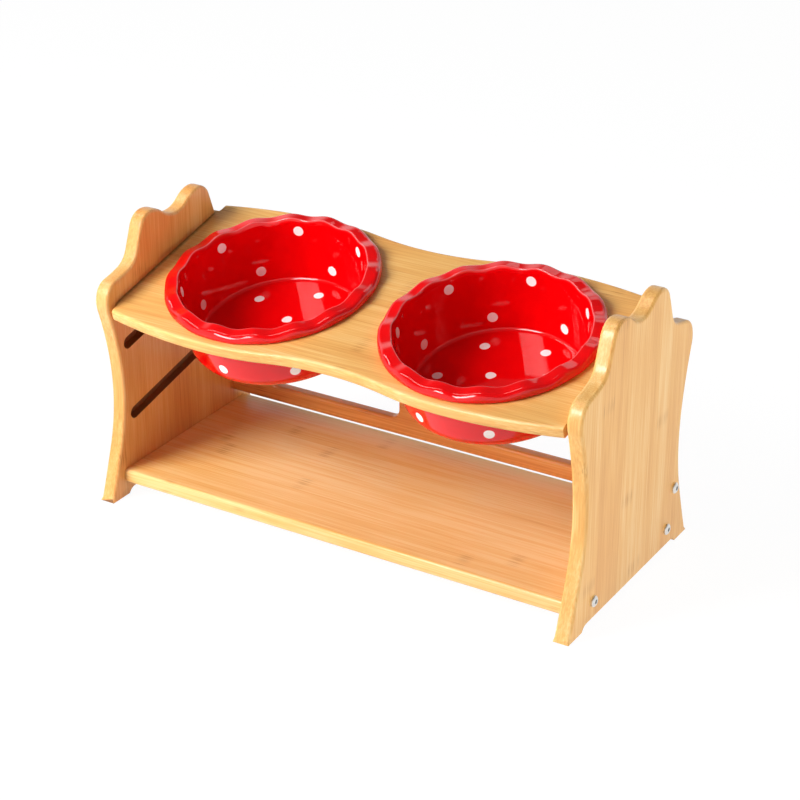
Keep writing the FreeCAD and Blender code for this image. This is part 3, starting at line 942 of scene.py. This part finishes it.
class STAND_OT_fasteners(bpy.types.Operator):
    """Build the hex-socket screws, and finish the hidden dowels"""
    bl_idname = "stand.fasteners"
    bl_label = "Screws and dowels"

    def screw(self, x, depth, height, side):
        """Screw with its head on the outside of a panel."""
        screws = stand().screws
        shank = screws.shank_radius
        head = screws.head_radius
        top = screws.head_height
        tip = -screws.shank_length
        tip_radius = 0.7 * shank
        tip_taper = 1.5 * MM
        tip_round = 0.3 * MM
        neck_round = 0.2 * MM
        underside_round = 0.15 * MM
        shoulder = 0.55 * top
        shoulder_round = 0.6 * MM
        face_radius = 0.72 * head
        face_round = 0.8 * MM
        profile = rounded((
            ((0, tip), 0),
            ((tip_radius, tip), tip_round),
            ((shank, tip + tip_taper), tip_round),
            ((shank, 0), neck_round),
            ((head, 0), underside_round),
            ((head, shoulder), shoulder_round),
            ((face_radius, top), face_round),
            ((0, top), 0),
        ), spacing=0.2 * MM)
        body = lathe(profile, steps=40)
        socket = bmesh.new()
        socket_radius = screws.socket_width / math.sqrt(3)
        bmesh.ops.create_cone(
            socket, cap_ends=True, segments=6, radius1=socket_radius, radius2=socket_radius,
            depth=2 * screws.socket_depth,
        )
        move(socket, Matrix.Translation((0, 0, top)))
        body = carve(body, [socket])
        move(body, Matrix.Translation((x, depth, height)) @ Matrix.Rotation(side * QUARTER_TURN, 4, "Y"))
        return body

    def execute(self, context):
        spacing = stand().screws.shelf_half_spacing
        shelf_low, shelf_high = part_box("bottom_shelf")
        rail_low, rail_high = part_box("back_rail")
        shelf_height = (shelf_low.z + shelf_high.z) / 2
        rail_depth = (rail_low.y + rail_high.y) / 2
        rail_height = (rail_low.z + rail_high.z) / 2
        shelf_screws = []
        rail_screws = []
        for side, word in SIDES:
            panel_low, panel_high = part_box(word + "_side_panel")
            outer_x = panel_low.x if side == LEFT else panel_high.x
            for depth in (-spacing, spacing):
                shelf_screws.append(self.screw(outer_x, depth, shelf_height, side))
            rail_screws.append(self.screw(outer_x, rail_depth, rail_height, side))
        steel = zinc_steel()
        finish_piece(join(shelf_screws), "shelf_screw_set", steel, "stand", "shelf_screws")
        finish_piece(join(rail_screws), "rail_screw_set", steel, "stand", "rail_screws")
        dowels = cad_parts["rail_dowels"]
        dowels.data.materials.clear()
        dowels.data.materials.append(beech_dowel())
        return {"FINISHED"}


class STAND_OT_stage(bpy.types.Operator):
    """Set the floor, the soft light and the camera"""
    bl_idname = "stand.stage"
    bl_label = "Stage"

    def aim(self, thing, place, target):
        thing.location = place
        thing.rotation_euler = (target - place).to_track_quat("-Z", "Y").to_euler()

    def camera(self):
        stage = stand().stage
        target = Vector(stage.target)
        away = Vector((
            math.sin(stage.azimuth) * math.cos(stage.elevation),
            -math.cos(stage.azimuth) * math.cos(stage.elevation),
            math.sin(stage.elevation),
        ))
        data = bpy.data.cameras.new("camera")
        data.lens = stage.lens
        data.sensor_width = stage.sensor
        camera = new_object("camera", data)
        self.aim(camera, target + away * stage.distance, target)
        bpy.context.scene.camera = camera

    def lamp(self, name, place, width, height, power):
        data = bpy.data.lights.new(name, "AREA")
        data.shape = "RECTANGLE"
        data.size = width
        data.size_y = height
        data.energy = power
        lamp = new_object(name, data)
        self.aim(lamp, Vector(place), Vector(LAMP_TARGET))
        return lamp

    def seen(self, tree):
        """1 for rays that show the background: from the camera, mirrored or let through by a surface."""
        path = node(tree, "LightPath").outputs
        seen = path["Is Camera Ray"]
        for kind in ("Is Glossy Ray", "Is Transmission Ray"):
            seen = node(tree, "Math", {0: seen, 1: path[kind]}, operation="MAXIMUM")
        return seen

    def floor(self):
        """White paper floor: lit by the lamps, and raised most of the way to white where it is seen, so
        that the stand's shadow stays as a soft grey."""
        half_width = 6.0
        below_feet = 0.3 * MM
        glow = 1.06
        glow_share = 0.9
        bm = bmesh.new()
        bmesh.ops.create_grid(bm, x_segments=1, y_segments=1, size=half_width)
        move(bm, Matrix.Translation((0, 0, -below_feet)))
        floor = shape_object(bm, "floor")
        material, tree, shader = new_material("white_paper")
        paper = rgba(linear("#F2F2F2"))
        feed(tree, shader, {"Base Color": paper, "Roughness": 0.9, "Specular IOR Level": 0.0})
        white = node(tree, "Emission", {"Color": WHITE, "Strength": glow})
        share = node(tree, "Math", {0: self.seen(tree), 1: glow_share}, operation="MULTIPLY")
        shown = node(tree, "MixShader", {0: share, 1: shader, 2: white})
        feed(tree, tree.nodes["Material Output"], {"Surface": shown})
        floor.data.materials.append(material)

    def world(self):
        """White room: plain white to the camera, with a darker ceiling in the glaze, and dim as a light."""
        backdrop_top = 0.4       # sine of the angle above level
        ceiling_edge = 0.6
        stage = stand().stage
        world = bpy.data.worlds.new("white_room")
        world.use_nodes = True
        tree = world.node_tree
        path = node(tree, "LightPath").outputs
        direction = node(tree, "TexCoord").outputs["Generated"]
        climb = node(tree, "SeparateXYZ", {0: direction}).outputs["Z"]
        mirrored = node(tree, "MapRange", {
            "Value": climb, "From Min": backdrop_top, "From Max": ceiling_edge,
            "To Min": 1.0, "To Max": stage.ceiling,
        })
        shown = node(tree, "Mix", {0: path["Is Camera Ray"], 2: mirrored, 3: 1.0})
        strength = node(tree, "Mix", {0: self.seen(tree), 2: stage.ambient, 3: shown})
        feed(tree, tree.nodes["Background"], {"Color": WHITE, "Strength": strength})
        bpy.context.scene.world = world

    def execute(self, context):
        stage = stand().stage
        self.camera()
        self.floor()
        self.world()
        for name, (place, width, height) in LAMPS.items():
            lamp = self.lamp(name + "_lamp", place, width, height, getattr(stage, name + "_power"))
            lamp.visible_glossy = False
        for name, (place, width, height) in SOFT_BOXES.items():
            soft_box = self.lamp(name + "_box", place, width, height, getattr(stage, name + "_power"))
            soft_box.visible_diffuse = False
        context.scene.view_settings.view_transform = "Standard"
        return {"FINISHED"}


class STAND_PT_panel(bpy.types.Panel):
    """Settings and building steps of the bowl stand"""
    bl_idname = "STAND_PT_panel"
    bl_label = "Bowl stand"
    bl_space_type = "VIEW_3D"
    bl_region_type = "UI"
    bl_category = "Bowl stand"

    def draw(self, context):
        for operator in OPERATORS:
            self.layout.operator(operator.bl_idname)
        for group in ("boards", "bowls", "screws", "finishes", "stage"):
            settings = getattr(context.scene.bowl_stand, group)
            box = self.layout.box()
            box.label(text=group.capitalize())
            for name in settings.bl_rna.properties.keys():
                if name not in ("rna_type", "name"):
                    box.prop(settings, name)


OPERATORS = (
    STAND_OT_side_panels, STAND_OT_level_boards, STAND_OT_bowl_shelf, STAND_OT_bowls,
    STAND_OT_fasteners, STAND_OT_stage,
)
CLASSES = (
    BoardSizes, BowlSizes, ScrewSizes, Finishes, StageSettings, BowlStand, *OPERATORS, STAND_PT_panel,
)


def register():
    for cls in CLASSES:
        bpy.utils.register_class(cls)
    bpy.types.Scene.bowl_stand = PointerProperty(type=BowlStand)


def unregister():
    del bpy.types.Scene.bowl_stand
    for cls in reversed(CLASSES):
        bpy.utils.unregister_class(cls)


def main():
    register()
    bpy.ops.stand.side_panels()
    bpy.ops.stand.level_boards()
    bpy.ops.stand.bowl_shelf()
    bpy.ops.stand.bowls()
    bpy.ops.stand.fasteners()
    bpy.ops.stand.stage()


if __name__ == "__main__":
    main()
